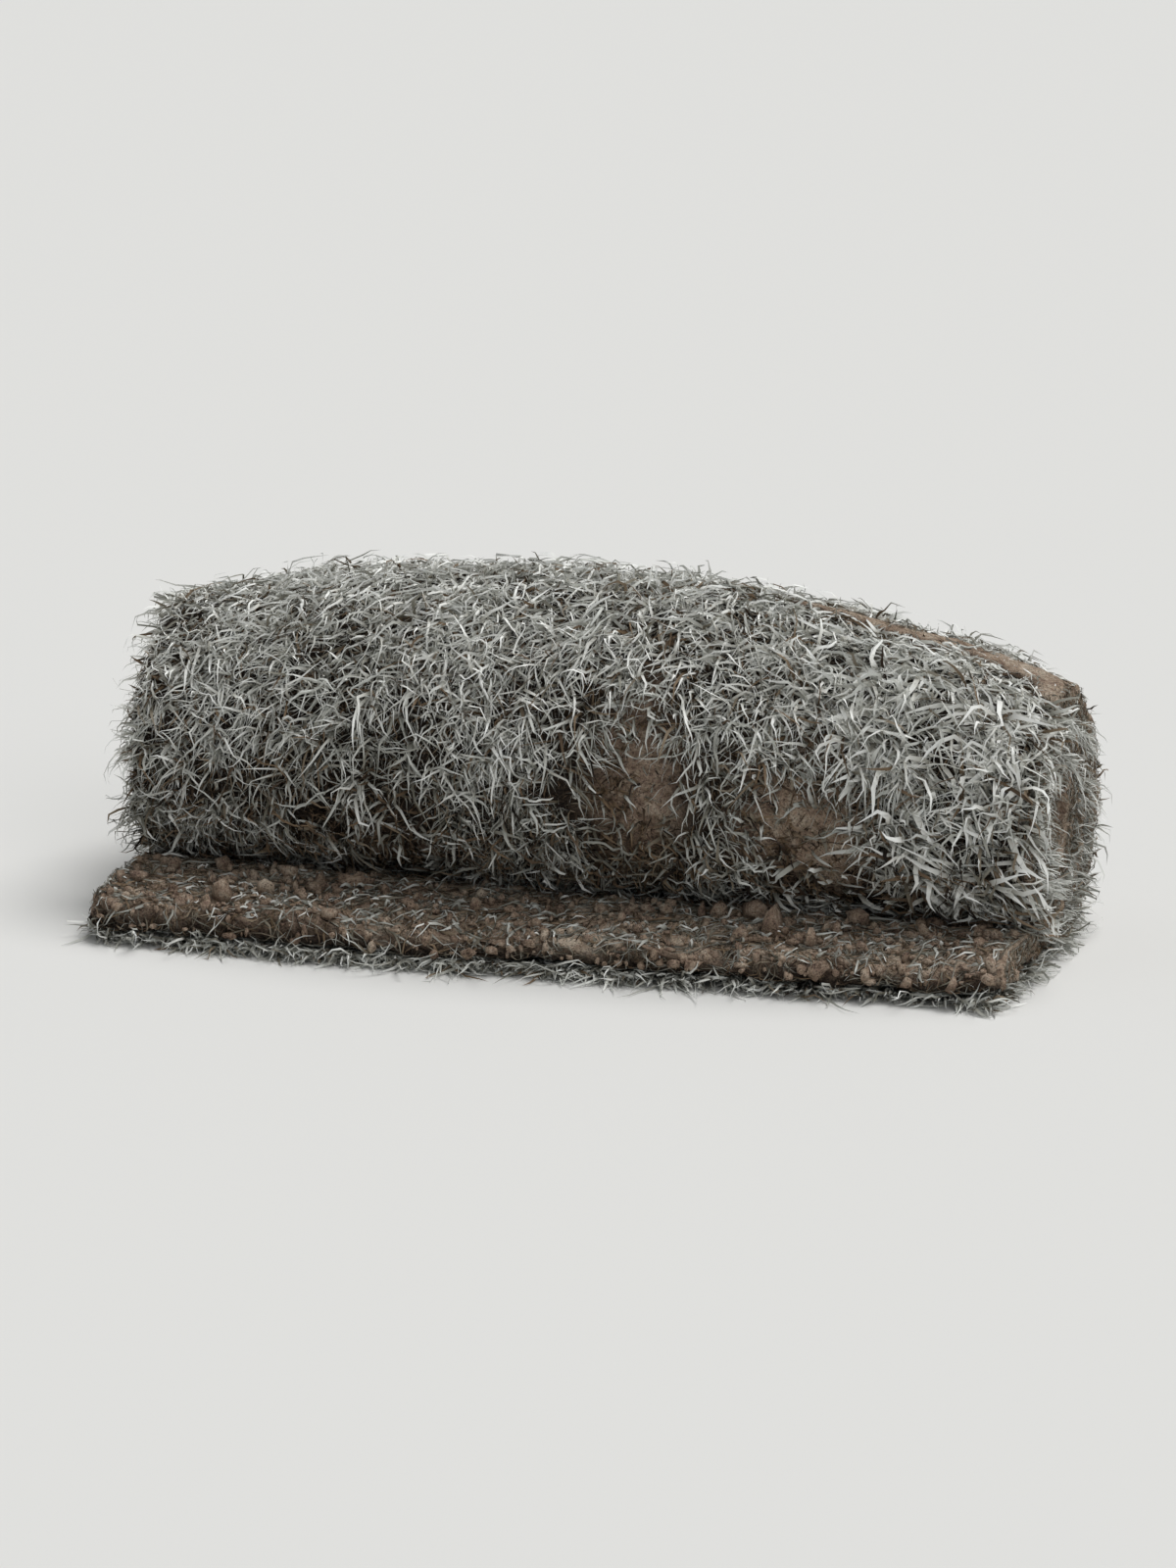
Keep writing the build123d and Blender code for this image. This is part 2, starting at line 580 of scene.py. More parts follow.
def patches(x, s):
    """1 in the middle of a worn patch, falling to 0 round it."""
    _, z, angle = outer_face(s)
    front = np.clip(np.sin(angle) * -1.5, 0, 1)
    ragged = 1 + 0.5 * noise(on_plane(x, s), size=0.035, shift=9.4)
    worn = np.zeros(len(x))
    for place, height, wide, high in THIN_PATCHES:
        spread = ((x - place) / wide) ** 2 + ((z - height) / high) ** 2
        worn = np.maximum(worn, np.exp(-spread * ragged) * front)
    return worn * (s < OUTER_TURN_LENGTH)


def wound_mat(material):
    """The root mat from where it leaves the ground to the strip's inner end."""
    stations = np.linspace(0.0, STRIP_END, num=540)
    x, t = mat_section(face_steps=62, cap_steps=11)
    x_all = np.tile(x, len(stations))
    t_all = np.tile(t, len(stations))
    s_all = np.repeat(stations, len(x))
    points = wound_point(x_all, s_all, t_all)
    marks = cut_marks(x_all, t_all)
    worn = ease(patches(x_all, s_all) * 1.6)
    bare = bareness(x_all, s_all)
    marks["thatch_and_shade"] *= 1 - 0.85 * worn
    marks["thatch_and_shade"] *= 1 - 0.85 * bare
    drier_to_right = 0.15 + 0.65 * ease((x_all - 0.08) / 0.07)
    marks["dry_and_lit"] = np.maximum(marks["dry_and_lit"], np.maximum(drier_to_right * worn, 0.8 * bare))
    faces = tube_faces(len(stations), len(x))
    piece = make_mesh("mat_wound", points, faces, material, marks=marks)
    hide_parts("turf_roll")
    return piece


def free_end_tip(x):
    """Where the free end's cut edge lies, out of square, torn, and round at its corners."""
    edge = FREE_END_Y + FREE_END_SKEW * (x + HALF_WIDTH) / STRIP_WIDTH
    beyond = np.clip((np.abs(x) - (HALF_WIDTH - FREE_END_CORNER)) / FREE_END_CORNER, 0, 1)
    line = on_plane(x, x * 0)
    waver = TIP_WAVER * noise(line, size=0.07, shift=4.2)
    teeth = TIP_TEETH * noise(line, size=0.022, shift=8.1)
    rounding = FREE_END_CORNER * (1 - np.sqrt(1 - beyond**2))
    return edge + rounding + (waver + teeth) + TIP_SETBACK


def rise(y, start, length):
    """0 behind the start, and 1 from that length in front of it."""
    return ease((start - y) / length)


def free_end_point(x, ahead, t):
    """A point of the free end's mat, some way ahead from its tip towards the roll, t of the way up.

    The upper face is torn back from the lower one along the tip, and the tip lies a little lower.
    """
    tip = free_end_tip(x)
    line = on_plane(x, x * 0)
    torn = (TEAR_SLOPE + TEAR_WAVER * noise(line, size=0.030, shift=2.9, octaves=3)) * t**2
    start = tip + torn
    end = RUN_END_Y - LEAVING_SLANT * t
    share = ahead / (RUN_END_Y - tip)
    y = start + (end - start) * share
    lower = GRASS + FREE_END_SPRING * rise(y, *LOWER_FACE_RISES)
    upper = PITCH + FREE_END_SPRING * rise(y, *UPPER_FACE_RISES)
    uneven = 0.75 + noise(line, size=0.045, shift=7.7)
    thinned = THINNING * (1 - ease(ahead / THINNING_REACH)) * uneven
    z = lower + (upper - lower - thinned) * t
    return roughen(roughen(np.column_stack([x, y, z]), *FREE_END_RELIEF), *FINE_RELIEF)


def free_end_mat(material):
    """The root mat of the free end, which lies on the ground with its soil side up."""
    crowding_to_tip = 1.15
    shares = np.linspace(0.0, 1.0, num=84) ** crowding_to_tip
    x, t = mat_section(face_steps=200, cap_steps=9)
    x_all = np.tile(x, len(shares))
    t_all = np.tile(t, len(shares))
    ahead = np.repeat(shares, len(x)) * (RUN_END_Y - free_end_tip(x_all))
    points = free_end_point(x_all, ahead, t_all)
    marks = cut_marks(x_all, t_all)
    # The free end's upper face is lighter: partly drier soil, partly painted light against the roll's
    # shadow that falls on it.
    dry_and_painted_light = 0.80 + 0.7 * noise(on_plane(x_all, ahead), size=0.05, shift=3.7, octaves=3)
    marks["dry_and_lit"] = np.maximum(marks["dry_and_lit"], np.clip(dry_and_painted_light, 0, 1) * ease(t_all / 0.3))
    faces = tube_faces(len(shares), len(x))
    return make_mesh("mat_free_end", points, faces, material, marks=marks)


def past_edges(points):
    """Whether points of the strip's coordinates lie out past its cut sides or its tip."""
    tip = free_end_tip(np.clip(points[:, 0], -HALF_WIDTH, HALF_WIDTH)) - RUN_END_Y
    return (np.abs(points[:, 0]) > HALF_WIDTH + PAST_SIDE) | (points[:, 1] < tip - PAST_TIP)


def grow(x, s, h, direction, length, stiffness, curl, lowest, ceiling, steps):
    """Grows blades in the strip's own coordinates (x, s, h), bending under gravity.

    Returns the points of each blade, root to tip. Over the mat a blade stays between its lowest
    height and its ceiling, and past the cut edges it hangs free.
    """
    here = np.column_stack([x, s, h])
    direction = direction / np.linalg.norm(direction, axis=1)[:, None]
    line = [here]
    outside = past_edges(here)
    for step in range(steps):
        _, _, angle = outer_face(here[:, 1])
        pull = np.column_stack([x * 0, -np.sin(angle), np.cos(angle)])
        bend = (1 - stiffness)[:, None] * (step + 1) / steps
        direction = direction + pull * bend + curl[:, None] * rng.normal(size=(len(x), 3))
        direction /= np.linalg.norm(direction, axis=1)[:, None]
        there = here + direction * (length / steps)[:, None]
        reach = np.abs(there[:, 0])
        hung = outside & (np.abs(here[:, 0]) > HALF_WIDTH) & (here[:, 2] < HUNG_BELOW)
        reach = np.where(hung, np.maximum(reach, HALF_WIDTH + CLEAR_OF_SIDE), reach)
        there[:, 0] = np.sign(there[:, 0]) * np.minimum(reach, HALF_WIDTH + MOST_PROUD_END)
        there[:, 1] = np.maximum(there[:, 1], FREE_END_Y - RUN_END_Y - MOST_PROUD_TIP)
        outside = outside | past_edges(there)
        over_mat = lowest * (step + 1) / steps + h * (1 - (step + 1) / steps)
        low = np.where(outside, LOWEST_HANGING, over_mat)
        there[:, 2] = np.clip(there[:, 2], low, ceiling)
        here = there
        line.append(here)
    return np.stack(line, axis=1)


def square_to(lines):
    """Two directions at each point of the lines, square to them: a level one and one square to it.

    The small amounts keep it from dividing by nothing.
    """
    along = np.gradient(lines, axis=1)
    along /= np.linalg.norm(along, axis=2)[:, :, None] + 1e-12
    level = np.cross(along, np.array([0.0, 0.0, 1.0]))
    level /= np.linalg.norm(level, axis=2)[:, :, None] + 1e-9
    return level, np.cross(level, along)


def width_profile(stations):
    """A blade's width from root to tip, as a share of its widest."""
    at_root, widening, taper = 0.65, 1.6, 2.2
    t = np.linspace(0, 1, stations)
    return np.minimum(1, at_root + widening * t) * (1 - t**taper)


def blades(name, lines, width, roll, tint, material, world=to_world):
    """Flat tapering blades along lines of points, each turned about itself by its roll."""
    twist_at_tip = 0.9
    count, stations, _ = lines.shape
    side, other = square_to(lines)
    further = np.linspace(0, twist_at_tip, stations)[None, :] * np.sign(roll)[:, None]
    twist = roll[:, None] + further
    side = side * np.cos(twist)[:, :, None] + other * np.sin(twist)[:, :, None]
    half = side * (width[:, None] * width_profile(stations)[None, :] / 2)[:, :, None]
    left = (lines - half)[:, :-1]
    right = (lines + half)[:, :-1]
    tip = lines[:, -1:]
    local = np.concatenate([np.stack([left, right], 2).reshape(count, -1, 3), tip], axis=1)
    per_blade = local.shape[1]
    flat = local.reshape(-1, 3)
    points = world(flat[:, 0], flat[:, 1], flat[:, 2])
    v = np.concatenate([np.repeat(np.arange(stations - 1), 2), [stations - 1]]) / (stations - 1)
    u = np.concatenate([np.tile([-1.0, 1.0], stations - 1), [0.0]]) * BLADE_HALF_WIDTH_ON_MAP
    uv = np.stack([
        np.clip(tint[:, None], MAP_MARGIN, 1 - MAP_MARGIN) + u[None, :],
        np.broadcast_to(MAP_MARGIN + (1 - 2 * MAP_MARGIN) * v, (count, per_blade)),
    ], -1).reshape(-1, 2)
    base = (np.arange(count) * per_blade)[:, None, None]
    rung = 2 * np.arange(stations - 2)[None, :, None]
    quads = (base + rung + np.array([0, 1, 3, 2])).reshape(-1, 4)
    last = per_blade - 3
    tips = (base[:, 0] + np.array([last, last + 1, last + 2])).reshape(-1, 3)
    return make_mesh(name, points, [quads, tips], material, uv)


def thinness(x, s):
    """1 where the grass is worn away, 0 where it is full."""
    spots = noise(on_plane(x, s), size=0.045, shift=6.6)
    return np.clip(1.25 * patches(x, s) + 0.7 * ease((spots - 0.30) / 0.30), 0, 1)


def tufts(first, last, count, per_tuft, spread):
    """Roots of grass in tufts on the outer turn: x, s and tuft of each root, x and s of each tuft."""
    centres = count // per_tuft
    centre_x = rng.uniform(-HALF_WIDTH, HALF_WIDTH, centres)
    centre_s = rng.uniform(first, last, centres)
    owner = np.repeat(np.arange(centres), per_tuft)
    x = centre_x[owner] + rng.normal(0, spread, len(owner))
    s = centre_s[owner] + rng.normal(0, spread, len(owner))
    inset = 0.0005
    limit = HALF_WIDTH - inset
    return np.clip(x, -limit, limit), np.clip(s, 0.0, OUTER_TURN_LENGTH), owner, centre_x, centre_s


def thatch_and_shade(material):
    """Short brown dead grass close to the mat, kept dark as painted shade low among the longer blades.
    """
    x, s, _, _, _ = tufts(0.0, OUTER_TURN_LENGTH, count=24000, per_tuft=4, spread=0.003)
    kept = 0.7 * bareness(x, s) <= rng.random(len(x))
    x, s = x[kept], s[kept]
    n = len(x)
    direction = np.column_stack([rng.normal(0, 1, n), rng.normal(0, 1, n), rng.uniform(0.0, 0.7, n)])
    lines = grow(
        x, s, mat_level(x, s) - BLADE_FOOT, direction,
        length=rng.uniform(0.007, 0.016, n),
        stiffness=np.full(n, 0.9),
        curl=np.full(n, 0.3),
        lowest=np.full(n, -OUTER_GRASS),
        ceiling=rng.uniform(-0.004, -0.001, n),
        steps=3,
    )
    # Dark brown, partly as painted shade low among the longer blades.
    tint = rng.normal(0.13, 0.08, n) + 0.10 * patches(x, s) + 0.14 * bareness(x, s)
    width = rng.uniform(0.0014, 0.0028, n)
    return blades("thatch_and_shade", lines, width, rng.normal(0, 0.8, n), np.clip(tint, 0.01, 0.4), material)


def tuft_looks(place):
    """How tufts lean along x and along s, how dense they are and how pale."""
    n = len(place)
    lean_x = 1.1 * noise(place, size=0.055, shift=2.2) + rng.normal(0, 0.7, n)
    lean_s = 1.1 * noise(place, size=0.055, shift=8.8) + rng.normal(0, 0.7, n)
    clump = noise(place, size=0.024, shift=7.9)
    tint = 0.70 + 0.14 * noise(place, size=0.06, shift=5.5) + 0.34 * clump + rng.normal(0, 0.17, n)
    dead = rng.random(n) < 0.07
    return lean_x, lean_s, clump, np.where(dead, rng.uniform(0.08, 0.30, n), tint)


def daylight(s):
    """How far the outer face hangs down at s, how open it is to the sky and how much painted shade it
    takes low down.
    """
    _, z, angle = outer_face(s)
    hanging = np.clip(-np.sin(angle) * 1.3, 0, 1)
    open_to_sky = np.maximum(1 - hanging, ease((z - 0.12) / 0.06))
    painted_shade = ease((0.15 - z) / 0.12) * hanging
    return hanging, open_to_sky, painted_shade


def missing_share(x, s, clump, hanging, open_to_sky):
    """The share of the blades that is missing, in worn and bare places and between clumps."""
    to_right = ease((x - 0.06) / 0.14) * hanging
    worn_off = np.maximum(0.93 * thinness(x, s), 0.80 * bareness(x, s))
    between_clumps = (0.76 - 0.46 * open_to_sky + 0.22 * to_right) * ease(-2.8 * clump - 0.02)
    return np.maximum(worn_off, between_clumps)


def beside_bare_line(x, s):
    """1 beside the bare line behind the top, where the grass is shorter, and 0 away from it."""
    away = np.abs(s - ROLL_TOP - 0.01)
    return ease((x - 0.02) / 0.12) * (1 - ease((away - 0.02) / 0.03))


def lawn(name, first, last, count, material):
    """Grass on the outer face between two distances along the strip, in tangled tufts.

    It hangs down on the roll's front, where painted shade darkens it towards the ground, and painted
    light makes it palest where it is open to the sky. Towards the right end it is longer, with broad
    pale blades in it.
    """
    x, s, owner, tuft_x, tuft_s = tufts(first, last, count, per_tuft=7, spread=0.0032)
    lean_x, lean_s, clump, tuft_tint = tuft_looks(on_plane(tuft_x, tuft_s))
    hanging, open_to_sky, painted_shade = daylight(s)
    kept = rng.random(len(x)) > missing_share(x, s, clump[owner], hanging, open_to_sky)
    x, s, owner = x[kept], s[kept], owner[kept]
    hanging, open_to_sky, painted_shade = hanging[kept], open_to_sky[kept], painted_shade[kept]

    n = len(x)
    right_end = ease((x - 0.10) / 0.12) * hanging
    bare = bareness(x, s)
    worn = patches(x, s)
    length = (rng.gamma(7, 0.0038, n) + 0.004 * hanging) * (1 + 0.45 * right_end) * (1 - 0.65 * bare)
    length = np.clip(length * (1 - 0.5 * worn), 0.008, 0.060)
    broad = (rng.random(n) < 0.35) * right_end
    width = rng.uniform(0.0013, 0.0027, n) * (1 + 0.3 * right_end + 0.7 * broad)

    over_ends = 0.6 * ease((np.abs(x) - 0.275) / 0.03) * np.sign(x) * (1 - bare)
    direction = np.column_stack([
        lean_x[owner] + rng.normal(0, 0.8, n) + 0.7 * over_ends,
        lean_s[owner] + rng.normal(0, 0.8, n) + 0.6 * hanging,
        rng.uniform(0.15, 1.0, n),
    ])
    is_low = rng.random(n) < 0.78
    proud = np.where(is_low, rng.uniform(-0.002, 0.005, n), rng.uniform(0.004, 0.011, n))
    proud = proud + 0.007 * clump[owner] - 0.006 * worn - 0.006 * beside_bare_line(x, s)
    lines = grow(
        x, s, mat_level(x, s) - BLADE_FOOT, direction, length,
        stiffness=rng.uniform(0.4, 0.95, n),
        curl=rng.uniform(0.15, 0.60, n),
        lowest=rng.uniform(-OUTER_GRASS, 0.002, n),
        ceiling=np.clip(proud, -0.0045, MOST_PROUD_SIDE),
        steps=5,
    )

    tint = tuft_tint[owner] + rng.normal(0, 0.17, n) + 0.55 * broad - 0.14 * right_end
    # Painted light and painted shade: paler where the face is open to the sky, darker low on the
    # hanging front.
    tint = tint + 0.28 * open_to_sky - 0.36 * painted_shade * (1 - broad)
    # More dark dead blades low on the hanging front, as painted shade.
    dead = rng.random(n) < 0.11 + 0.20 * painted_shade
    tint = np.where(dead, rng.uniform(0.12, 0.42, n), tint) * (1 - 0.45 * worn)
    return blades(name, lines, width, rng.normal(0, 0.8, n), tint, material)


def gap_grass(material):
    """Grass of the inner turns, which sticks out between them at both ends of the roll."""
    count = 10500
    side = np.where(rng.random(count) < 0.5, -1.0, 1.0)
    s = rng.uniform(OUTER_TURN_LENGTH, STRIP_END, count)
    clump = noise(on_plane(s, side), size=0.018, shift=3.3)
    kept = rng.random(count) < 0.35 + 0.9 * ease((clump + 0.35) / 0.7)
    side, s, clump = side[kept], s[kept], clump[kept]
    n = len(s)
    depth = rng.uniform(0.001, 0.022, n)
    direction = np.column_stack([
        side * rng.uniform(0.3, 1.2, n),
        rng.normal(0, 0.85, n) + 1.1 * noise(on_plane(s, side), size=0.028, shift=5.1),
        rng.normal(0, 0.5, n),
    ])
    length = depth + rng.gamma(2.6, 0.0048, n) * (1 + 0.5 * clump)
    lines = grow(
        side * (HALF_WIDTH - depth), s, rng.uniform(-GRASS, -0.0015, n), direction, length,
        stiffness=rng.uniform(0.05, 0.8, n),
        curl=rng.uniform(0.15, 0.6, n),
        lowest=np.full(n, -GRASS),
        ceiling=np.full(n, -TURN_CLEARANCE),
        steps=4,
    )
    tint = rng.normal(0.60, 0.20, n) + 0.15 * clump
    width = rng.uniform(0.0010, 0.0026, n)
    return blades("grass_between_turns", lines, width, rng.normal(0, 0.9, n), tint, material)


def fringe(material):
    """Grass that is pressed under the free end and sticks out round its three edges."""
    along_tip = 5200
    along_sides = 2600
    tip_x = rng.uniform(-HALF_WIDTH, HALF_WIDTH, along_tip)
    tip_y = free_end_tip(tip_x) + rng.uniform(-0.001, 0.020, along_tip)
    side = np.where(rng.random(along_sides) < 0.5, -1.0, 1.0)
    side_x = side * (HALF_WIDTH - rng.uniform(-0.0005, 0.014, along_sides))
    side_y = rng.uniform(FREE_END_Y + FREE_END_SKEW, RUN_END_Y, along_sides)
    x = np.concatenate([tip_x, side_x])
    s = np.concatenate([tip_y, side_y]) - RUN_END_Y
    out_x = np.concatenate([tip_x * 0, side])
    out_y = np.concatenate([tip_x * 0 - 1, side * 0])
    share_kept = 0.30 + 1.1 * ease((noise(on_plane(x, s), size=0.05, shift=6.1) + 0.45) / 0.8)
    kept = rng.random(len(x)) < share_kept
    x, s, out_x, out_y = x[kept], s[kept], out_x[kept], out_y[kept]
    place = on_plane(x, s)
    n = len(x)
    clump = noise(place, size=0.016, shift=1.3)
    direction = np.column_stack([
        out_x + rng.normal(0, 0.75, n) + 1.1 * clump,
        out_y + rng.normal(0, 0.75, n) + 0.5 * noise(place, size=0.03, shift=4.4),
        rng.normal(-0.15, 0.30, n),
    ])
    length = np.clip(rng.gamma(2.4, 0.0056, n) * (1 + 0.9 * clump), 0.003, 0.05)
    lines = grow(
        x, s, rng.uniform(-GRASS, -0.002, n), direction, length,
        stiffness=rng.uniform(0.5, 0.95, n),
        curl=rng.uniform(0.15, 0.60, n),
        lowest=np.full(n, -GRASS),
        ceiling=np.full(n, -0.0012),
        steps=4,
    )
    tint = rng.normal(0.58, 0.20, n) + 0.15 * clump
    width = rng.uniform(0.0010, 0.0024, n)
    return blades("grass_under_free_end", lines, width, rng.normal(0, 0.7, n), tint, material)


def wander(a, b, heading, length, curl, bow, steps):
    """Lines that wander over a flat field (a, b), lifted off it in the middle by their bow."""
    points = [on_plane(a, b)]
    for step in range(steps):
        heading = heading + curl * rng.normal(size=len(a))
        a = a + np.cos(heading) * length / steps
        b = b + np.sin(heading) * length / steps
        lift = bow * math.sin(math.pi * (step + 1) / steps)
        points.append(np.column_stack([a, b, lift]))
    return np.stack(points, axis=1)


def on_free_end(x, ahead, h):
    """A point h off the free end's upper side. A negative distance ahead goes down its torn edge."""
    inset, furthest = 0.002, 0.2
    x = np.clip(x, -HALF_WIDTH + inset, HALF_WIDTH - inset)
    down = np.clip(-ahead / SOIL, 0, 1)
    points = free_end_point(x, np.clip(ahead, 0.0, furthest), 1 - down)
    over_edge = ease(down / 0.2)
    points[:, 1] -= (h + OFF_TORN_EDGE) * over_edge
    points[:, 2] += (h + OFF_FACE) * (1 - over_edge)
    return points


def on_cut_end(side):
    """The mapping from (distance along the strip, depth in the mat, height) to one cut side.

    Below zero the distance runs on along the free end.
    """
    def world(s, depth, h):
        least_depth, from_tip = 0.05, 0.003
        x = np.full(len(s), side * HALF_WIDTH)
        t = np.clip(depth / SOIL, least_depth, 1.0)
        reach = RUN_END_Y - free_end_tip(x)
        wound = wound_point(x, np.clip(s, 0.0, STRIP_END), t)
        lying = free_end_point(x, np.clip(s + reach, from_tip, reach), t)
        points = np.where((s < 0)[:, None], lying, wound)
        points[:, 0] += side * (h + OFF_FACE)
        return points
    return world


def any_heading(n):
    """Random directions all round."""
    return rng.uniform(0, 2 * math.pi, n)


def roots(material):
    """Pale root threads and fallen grass on the free end, and root threads on the two cut sides."""
    n = 4200
    lines = wander(
        rng.uniform(-HALF_WIDTH, HALF_WIDTH, n), rng.uniform(-0.018, 0.13, n), any_heading(n),
        length=rng.gamma(5, 0.0045, n),
        curl=0.5,
        bow=rng.uniform(0.0, 0.0022, n),
        steps=4,
    )
    tint = np.clip(rng.normal(0.30, 0.12, n), 0.05, 0.7)
    width = rng.uniform(0.0005, 0.0013, n)
    roll = rng.normal(0, 0.4, n)
    blades("roots_free_end", lines, width, roll, tint, material, on_free_end)

    n = 900
    lines = wander(
        rng.uniform(-HALF_WIDTH, HALF_WIDTH, n), 0.125 * rng.random(n) ** 1.4, any_heading(n),
        length=rng.gamma(5, 0.0030, n),
        curl=0.6,
        bow=rng.uniform(0.0005, 0.004, n),
        steps=4,
    )
    width = rng.uniform(0.0010, 0.0022, n)
    roll = rng.normal(0, 0.6, n)
    tint = np.clip(rng.normal(0.60, 0.2, n), 0.1, 1.0)
    blades("fallen_grass", lines, width, roll, tint, material, on_free_end)

    n = 5100
    for side, name in ((-1, "roots_left_end"), (1, "roots_right_end")):
        lines = wander(
            rng.uniform(CUT_SIDE_START, STRIP_END, n), rng.uniform(0.0, 0.95 * SOIL, n),
            rng.normal(math.pi / 2, 0.9, n),
            length=rng.gamma(4, 0.0026, n),
            curl=0.4,
            bow=rng.uniform(0.0, 0.003, n),
            steps=3,
        )
        tint = np.clip(rng.normal(0.30, 0.13, n), 0.03, 0.7)
        width = rng.uniform(0.0004, 0.0011, n)
        roll = rng.normal(0, 0.4, n)
        blades(name, lines, width, roll, tint, material, on_cut_end(side))


def tubes(name, lines, radius, tint, material):
    """Round stems along lines of points, a little thicker at their nodes."""
    count, stations, _ = lines.shape
    sides = 5
    stations_per_node = 4
    node_swell, end_taper, start_share = 0.35, 0.75, 0.3
    map_start, map_length = 0.4, 0.5
    side, other = square_to(lines)
    t = np.linspace(0, 1, stations)
    at_node = np.arange(stations) % stations_per_node == 0
    swell = (1 + node_swell * at_node) * (1 - end_taper * t**6) * np.where(t == 0, start_share, 1)
    angle = np.arange(sides) * 2 * math.pi / sides
    r = (radius[:, None] * swell[None, :])[:, :, None, None]
    ring = side[:, :, None] * np.cos(angle)[:, None] + other[:, :, None] * np.sin(angle)[:, None]
    flat = (lines[:, :, None] + r * ring).reshape(-1, 3)
    points = to_world(flat[:, 0], flat[:, 1], flat[:, 2])
    low = np.arange(stations - 1)[:, None] * sides + np.arange(sides)
    low_next = np.arange(stations - 1)[:, None] * sides + (np.arange(sides) + 1) % sides
    one = np.stack([low, low_next, low_next + sides, low + sides], -1).reshape(1, -1, 4)
    quads = (np.arange(count)[:, None, None] * stations * sides + one).reshape(-1, 4)
    u = np.repeat(np.clip(tint, MAP_MARGIN, 1 - 2 * MAP_MARGIN), stations * sides)
    u = u + np.tile(BLADE_HALF_WIDTH_ON_MAP * np.cos(angle), count * stations)
    v = np.tile(np.repeat(map_start + map_length * t, sides), count)
    return make_mesh(name, points, [quads], material, np.column_stack([u, v]))


def runners(material):
    """Creeping stems that lie over the grass of the outer turn."""
    n = 85
    past_end = 0.012
    lines = wander(
        rng.uniform(-0.9, 0.9, n) * HALF_WIDTH, rng.uniform(0.06, OUTER_TURN_LENGTH - 0.08, n),
        any_heading(n),
        length=rng.uniform(0.025, 0.060, n),
        curl=0.30,
        bow=rng.uniform(0.002, 0.005, n),
        steps=14,
    )
    lines[:, :, 2] += -0.002 + 0.001 * rng.normal(size=lines.shape[:2])
    lines[:, :, 0] = np.clip(lines[:, :, 0], -HALF_WIDTH - past_end, HALF_WIDTH + past_end)
    return tubes("runners", lines, rng.uniform(0.0006, 0.0010, n), rng.normal(0.60, 0.12, n), material)


def icosahedron():
    """Its corners, one unit from the middle, and its faces, which look outwards."""
    golden = (1 + math.sqrt(5)) / 2
    corners = np.array([(a, b * golden, 0) for a in (-1, 1) for b in (-1, 1)])
    corners = np.concatenate([corners, corners[:, [2, 0, 1]], corners[:, [1, 2, 0]]])
    corners /= np.linalg.norm(corners[0])
    longer_than_edge = 1.2
    joined = np.linalg.norm(corners[:, None] - corners[None], axis=2) < longer_than_edge
    count = len(corners)
    faces = [
        (i, j, k) for i in range(count) for j in range(i + 1, count) for k in range(j + 1, count)
        if joined[i, j] and joined[j, k] and joined[i, k]
    ]
    outward = [f if np.linalg.det(corners[list(f)]) > 0 else f[::-1] for f in faces]
    return corners, np.array(outward)


def crumbs(material):
    """Crumbs of soil that lie on the free end, and that stand out of the cut sides."""
    lying, standing = 1450, 660
    smallest = 0.0006
    smaller_on_sides = 0.6
    raised_share, sunk_on_sides = 0.3, 0.0008
    n = lying + 2 * standing
    size = rng.gamma(1.8, 0.0009, n) + smallest
    size[lying:] *= smaller_on_sides
    x = rng.uniform(-HALF_WIDTH, HALF_WIDTH, lying) * 0.985
    places = [on_free_end(x, rng.uniform(-0.017, 0.125, lying), size[:lying] * raised_share)]
    for side in (-1, 1):
        s = rng.uniform(CUT_SIDE_START, STRIP_END, standing)
        depth = rng.uniform(0.001, 0.95 * SOIL, standing)
        places.append(on_cut_end(side)(s, depth, np.full(standing, -sunk_on_sides)))
    place = np.concatenate(places)
    ball, faces = icosahedron()
    corners = len(ball)
    stretch = rng.uniform(0.5, 1.35, (n, 1, 3))
    dented = ball[None] * (1 + rng.normal(0, 0.24, (n, corners, 1)))
    points = place[:, None] + dented * stretch * size[:, None, None]
    all_faces = (np.arange(n)[:, None, None] * corners + faces[None]).reshape(-1, 3)
    marks = {"dry_and_lit": np.repeat(rng.uniform(0, 1, n), corners), "thatch_and_shade": np.zeros(n * corners)}
    return make_mesh("crumbs", points.reshape(-1, 3), [all_faces], material, marks=marks)


# The floor and the light
FLOOR_COLOUR = srgb(222, 221, 218)
FLOOR_REACH = 60.0
SKY_COLOUR = (0.92, 0.97, 1.0, 1.0)
SKY_STRENGTH = 0.21
# Each lamp: its name, strength, azimuth, elevation and softness. Azimuths count as the camera's does.
LAMPS = (
    ("key", 2.50, 145.0, 67.0, 38.0),
    ("fill", 0.50, 40.0, 38.0, 30.0),
)


def make_floor():
    """A wide pale floor."""
    material, _, shader = new_material("floor")
    shader.inputs["Base Color"].default_value = FLOOR_COLOUR
    shader.inputs["Roughness"].default_value = 0.9
    shader.inputs["Specular IOR Level"].default_value = 0.1
    mesh = bpy.data.meshes.new("floor")
    reach = FLOOR_REACH
    corners = [(-reach, -reach, 0), (reach, -reach, 0), (reach, reach, 0), (-reach, reach, 0)]
    mesh.from_pydata(corners, [], [(0, 1, 2, 3)])
    mesh.materials.append(material)
    floor = bpy.data.objects.new("floor", mesh)
    bpy.context.scene.collection.objects.link(floor)


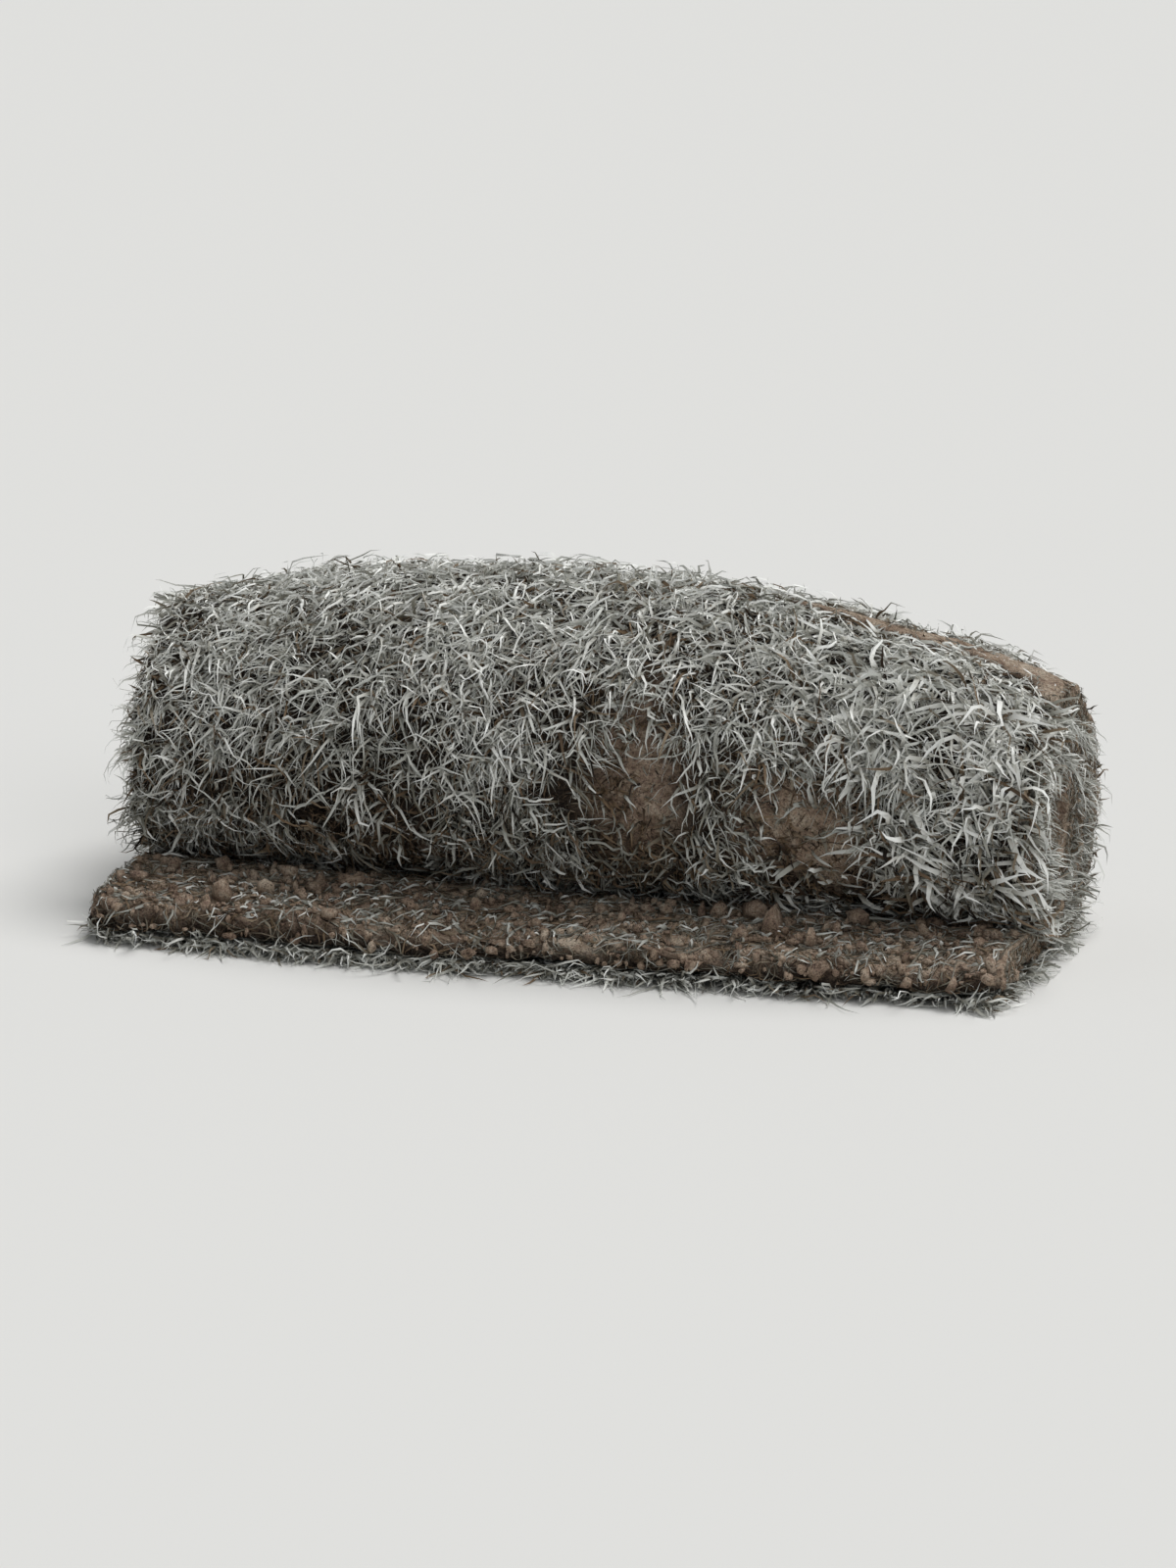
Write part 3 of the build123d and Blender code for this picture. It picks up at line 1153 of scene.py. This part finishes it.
def make_world():
    """A sky that lights the roll faintly, and that the camera sees in the floor's colour."""
    world = bpy.data.worlds.new("studio")
    world.use_nodes = True
    tree = world.node_tree
    tree.nodes.clear()
    output = tree.nodes.new("ShaderNodeOutputWorld")
    ambient = tree.nodes.new("ShaderNodeBackground")
    ambient.inputs[0].default_value = SKY_COLOUR
    ambient.inputs[1].default_value = SKY_STRENGTH
    seen = tree.nodes.new("ShaderNodeBackground")
    seen.inputs[0].default_value = FLOOR_COLOUR
    seen.inputs[1].default_value = 1.0
    path = tree.nodes.new("ShaderNodeLightPath")
    choose = tree.nodes.new("ShaderNodeMixShader")
    tree.links.new(path.outputs["Is Camera Ray"], choose.inputs[0])
    tree.links.new(ambient.outputs[0], choose.inputs[1])
    tree.links.new(seen.outputs[0], choose.inputs[2])
    tree.links.new(choose.outputs[0], output.inputs[0])
    bpy.context.scene.world = world


def direction_from(azimuth, elevation):
    """The way from the object to something that stands at these angles, in degrees."""
    a, e = math.radians(azimuth), math.radians(elevation)
    return Vector((math.sin(a) * math.cos(e), -math.cos(a) * math.cos(e), math.sin(e)))


def make_lamp(name, strength, azimuth, elevation, softness):
    """A sun that shines from a direction, with its strength and its softness in degrees."""
    data = bpy.data.lights.new(name, "SUN")
    data.energy = strength
    data.angle = math.radians(softness)
    lamp = bpy.data.objects.new(name, data)
    lamp.rotation_mode = "QUATERNION"
    lamp.rotation_quaternion = (-direction_from(azimuth, elevation)).to_track_quat("-Z", "Y")
    bpy.context.scene.collection.objects.link(lamp)


def make_camera():
    """The camera, which looks at the roll from the photograph's side."""
    target = Vector(CAMERA_TARGET)
    back = direction_from(CAMERA_AZIMUTH, CAMERA_ELEVATION)
    data = bpy.data.cameras.new("camera")
    data.lens = CAMERA_LENS
    data.clip_end = 200.0
    camera = bpy.data.objects.new("camera", data)
    camera.location = target + back * CAMERA_DISTANCE
    camera.rotation_mode = "QUATERNION"
    camera.rotation_quaternion = (-back).to_track_quat("-Z", "Y")
    bpy.context.scene.collection.objects.link(camera)
    bpy.context.scene.camera = camera


bpy.context.scene.view_settings.view_transform = "Standard"

# The pieces of the outer turn's grass, each with its stretch of the strip
GRASS_PIECES = (
    ("grass_back_low", BACK_LOW),
    ("grass_back_high", BACK_HIGH),
    ("grass_front_high", FRONT_HIGH),
    ("grass_front_low", FRONT_LOW),
)
BLADES_PER_METRE = 78000

grass = blade_material()
soil = soil_material()
wound_mat(soil)
free_end_mat(soil)
thatch_and_shade(grass)
for piece_name, stretch in GRASS_PIECES:
    first, last = STRETCH_STARTS[stretch], STRETCH_STARTS[stretch + 1]
    lawn(piece_name, first, last, round(BLADES_PER_METRE * (last - first)), grass)
gap_grass(grass)
fringe(grass)
roots(grass)
runners(grass)
crumbs(soil)

make_floor()
make_world()
for lamp in LAMPS:
    make_lamp(*lamp)
make_camera()
